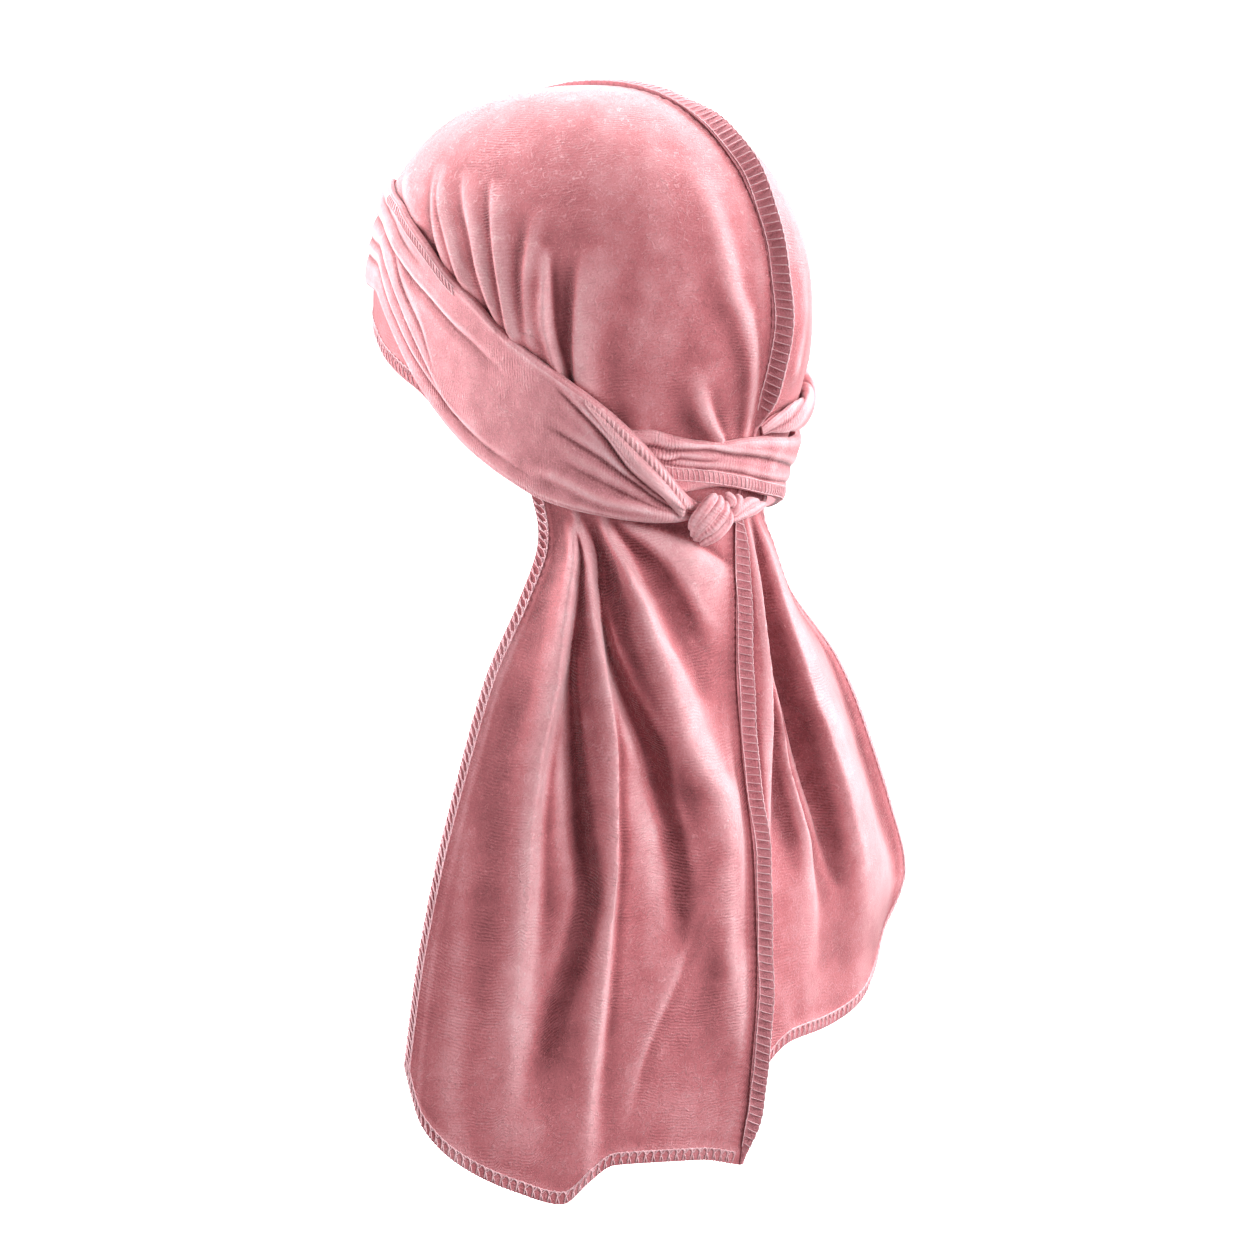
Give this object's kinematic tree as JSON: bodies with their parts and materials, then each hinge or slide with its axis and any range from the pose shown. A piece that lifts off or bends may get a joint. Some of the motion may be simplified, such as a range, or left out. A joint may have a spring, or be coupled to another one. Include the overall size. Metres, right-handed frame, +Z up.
{
  "type": "durag",
  "caption": "Tied velvet head wrap: panelled cap with a standing centre seam, gathered ties knotted at the nape, and a long pleated cape.",
  "frame": {"origin": "highest point of the inside of the cap, where it sits on the head", "axes": "+Z up, the wearer faces -Y, +X is the wearer's left"},
  "size_m": [0.2373, 0.2063, 0.4369],
  "materials": {
    "velvet": "rose short-pile velvet",
    "seam_allowance": "overlocked velvet seam allowance",
    "velvet_ties": "gathered rose velvet",
    "reverse_side": "smooth reverse side of the velvet"
  },
  "bodies": {
    "root": {"panel_left": "velvet", "panel_right": "velvet", "centre_seam": "seam_allowance", "tie_left": "velvet_ties", "tie_left_turnover": "reverse_side", "tie_right": "velvet_ties", "tie_right_twist": "velvet_ties", "knot": "velvet_ties"}
  },
  "joints": []
}
